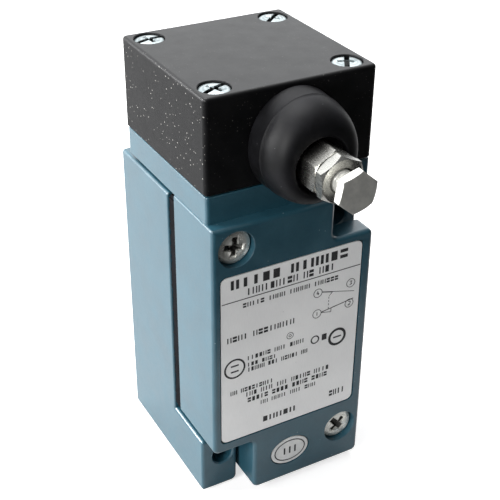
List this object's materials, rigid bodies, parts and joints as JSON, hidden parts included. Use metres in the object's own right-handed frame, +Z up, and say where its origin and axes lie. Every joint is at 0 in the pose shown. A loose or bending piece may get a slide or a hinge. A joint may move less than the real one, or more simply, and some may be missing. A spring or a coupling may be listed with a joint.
{
  "type": "limit switch",
  "caption": "Plug-in industrial limit switch with a wiring receptacle, switch unit and side-rotary head: booted shaft ending in a hex nut and bolt for a lever arm.",
  "frame": {"origin": "on the flat mounting face at the back of the receptacle, on the centre line and midway between the two mounting holes", "axes": "+Z up towards the operating head, +Y out of the mounting face into the machine, -Y towards the nameplate and the lever shaft, +X to the right seen from the front"},
  "size_m": [0.041, 0.0693, 0.1064],
  "materials": {
    "blue_enamel": "glossy blue-grey enamel over a zinc die casting",
    "black_epoxy": "satin black epoxy over a zinc die casting",
    "black_rubber": "soft moulded black rubber with a low sheen",
    "seal_rubber": "matt black seal rubber",
    "satin_foil": null,
    "white_label": "matt white vinyl with a plain grey ring",
    "stainless": "turned and milled stainless steel",
    "bronze": "sintered bronze",
    "hardened_steel": "hardened steel, dark",
    "spring_steel": "oiled spring steel",
    "nickel_plate": "bright nickel plate",
    "zinc_plate": "bright zinc plate with a blue cast",
    "dark_moulding": "dark brown phenolic moulding",
    "acetal": "natural acetal",
    "silver_brass": "brass strip with silver buttons",
    "brass": "plain brass strip and turnings"
  },
  "bodies": {
    "receptacle": {"receptacle_casting": "blue_enamel", "body_gasket": "seal_rubber", "terminal_block": "dark_moulding", "terminal_clip_1": "brass", "terminal_clip_2": "brass", "terminal_clip_3": "brass", "terminal_clip_4": "brass", "terminal_screw_1": "nickel_plate", "terminal_screw_2": "nickel_plate", "terminal_screw_3": "nickel_plate", "terminal_screw_4": "nickel_plate", "block_screw_upper": "nickel_plate", "block_screw_lower": "nickel_plate", "ground_screw": "brass"},
    "switch_unit": {"switch_housing": "blue_enamel", "nameplate": "satin_foil", "oval_sticker": "white_label", "captive_screw_upper_left": "nickel_plate", "captive_screw_lower_right": "nickel_plate", "retainer_upper_left": "spring_steel", "retainer_lower_right": "spring_steel", "contact_block": "dark_moulding", "plug_blade_1": "brass", "plug_blade_2": "brass", "plug_blade_3": "brass", "plug_blade_4": "brass", "head_housing": "black_epoxy", "head_seal": "seal_rubber", "head_screw_front_left": "zinc_plate", "head_screw_front_right": "zinc_plate", "head_screw_rear_left": "zinc_plate", "head_screw_rear_right": "zinc_plate", "shaft_bushing": "bronze", "rubber_boot": "black_rubber"},
    "cam": {"cam_sleeve": "hardened_steel", "return_spring": "spring_steel"},
    "lever_shaft": {"shaft": "stainless", "retaining_ring": "spring_steel", "lever_nut": "stainless", "lever_bolt": "stainless"},
    "plunger": {"head_plunger": "stainless", "plunger_spring": "spring_steel"},
    "contacts": {"contact_carrier": "acetal", "contact_bridge_nc": "silver_brass", "contact_bridge_no": "silver_brass", "carrier_spring": "spring_steel"}
  },
  "joints": [
    {"name": "plug_in", "type": "slide", "parent": "receptacle", "child": "switch_unit", "axis": [0, -1, 0], "range_m": [0, 0.03]},
    {"name": "shaft_cw", "type": "hinge", "parent": "switch_unit", "child": "cam", "pos_m": [0, -0.0355, 0.05285], "axis": [0, 1, 0], "range_deg": [0, 75], "stiffness_Nm_per_rad": 0.12, "springref_deg": -17.19, "deforming": ["return_spring"]},
    {"name": "shaft_ccw", "type": "hinge", "parent": "cam", "child": "lever_shaft", "pos_m": [0, -0.0355, 0.05285], "axis": [0, 1, 0], "range_deg": [-75, 0], "stiffness_Nm_per_rad": 0.12, "springref_deg": 17.19},
    {"name": "plunger_slide", "type": "slide", "parent": "switch_unit", "child": "plunger", "axis": [0, 0, -1], "range_m": [0, 0.0025], "deforming": ["plunger_spring"]},
    {"name": "carrier_slide", "type": "slide", "parent": "switch_unit", "child": "contacts", "axis": [0, 0, -1], "range_m": [0, 0.0025], "deforming": ["carrier_spring"]}
  ],
  "couplings": [
    {"joint": "plunger_slide", "follows": "shaft_cw", "m_per_rad": 0.0019},
    {"joint": "carrier_slide", "follows": "shaft_cw", "m_per_rad": 0.0019}
  ]
}
